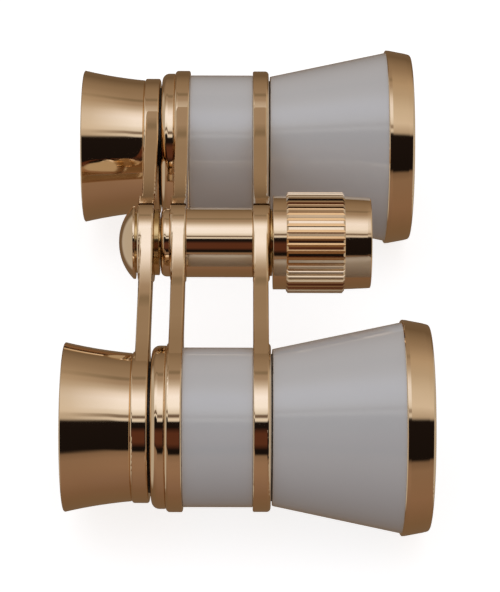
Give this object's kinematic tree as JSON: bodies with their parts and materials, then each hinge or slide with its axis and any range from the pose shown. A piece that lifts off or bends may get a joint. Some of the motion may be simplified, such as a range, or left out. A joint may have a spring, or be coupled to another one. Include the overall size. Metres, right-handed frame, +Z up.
{
  "type": "opera glasses",
  "caption": "Small centre-focus opera glasses: two white and gold barrels on three slim bridge plates, flared eyecups that slide out when the knurled knob turns.",
  "frame": {"origin": "bottom centre of the object's box, lying with its barrels horizontal", "axes": "+X along the barrels from the eyecups to the objectives, +Y to the user's left, +Z up"},
  "size_m": [0.0554, 0.097, 0.0329],
  "materials": {
    "gold_bridge": "polished gold plate",
    "gold_rim": "polished gold plate",
    "gold_eyecup": "polished gold plate",
    "gold_turned": "polished gold plate",
    "gold_knob": "polished gold plate, straight knurled grip",
    "white_enamel": "glossy ivory white enamel",
    "lens_glass": "polished, thin blue-violet coating",
    "black_anodised": "matt black anodised",
    "black_nylon": "matt",
    "plain_brass": "machined, unplated"
  },
  "bodies": {
    "barrels": {"rear_bridge": "gold_bridge", "front_bridge": "gold_bridge", "centre_tube": "gold_turned", "centre_tube_end_nut": "gold_turned", "thrust_collar": "plain_brass", "left_guide_collar": "gold_turned", "left_barrel_tube": "black_anodised", "left_guide_bush": "black_nylon", "left_rear_sleeve": "white_enamel", "left_front_cone": "white_enamel", "left_objective_rim": "gold_rim", "left_objective_lens": "lens_glass", "left_objective_retainer": "black_anodised", "right_guide_collar": "gold_turned", "right_barrel_tube": "black_anodised", "right_guide_bush": "black_nylon", "right_rear_sleeve": "white_enamel", "right_front_cone": "white_enamel", "right_objective_rim": "gold_rim", "right_objective_lens": "lens_glass", "right_objective_retainer": "black_anodised"},
    "eyepiece_carriage": {"eyepiece_bridge": "gold_bridge", "focus_spindle": "plain_brass", "dome_nut": "gold_turned", "dome_nut_washer": "plain_brass", "spindle_disc": "plain_brass", "left_eyecup": "gold_eyecup", "left_draw_tube": "black_anodised", "left_eye_lens_cell": "black_anodised", "left_eye_lens": "lens_glass", "left_eye_lens_retainer": "black_anodised", "right_eyecup": "gold_eyecup", "right_draw_tube": "black_anodised", "right_eye_lens_cell": "black_anodised", "right_eye_lens": "lens_glass", "right_eye_lens_retainer": "black_anodised"},
    "focusing_knob": {"focus_knob": "gold_knob", "knob_lock_nut": "plain_brass", "knob_end_cap": "gold_knob", "drive_sleeve": "plain_brass"}
  },
  "joints": [
    {"name": "focus_turn", "type": "hinge", "parent": "barrels", "child": "focusing_knob", "pos_m": [0.01, 0, 0.02466], "axis": [1, 0, 0], "range_deg": [0, 540]},
    {"name": "focus_slide", "type": "slide", "parent": "barrels", "child": "eyepiece_carriage", "axis": [-1, 0, 0], "range_m": [0, 0.00788]}
  ],
  "couplings": [
    {"joint": "focus_turn", "follows": "focus_slide", "rad_per_m": 1196.8}
  ]
}
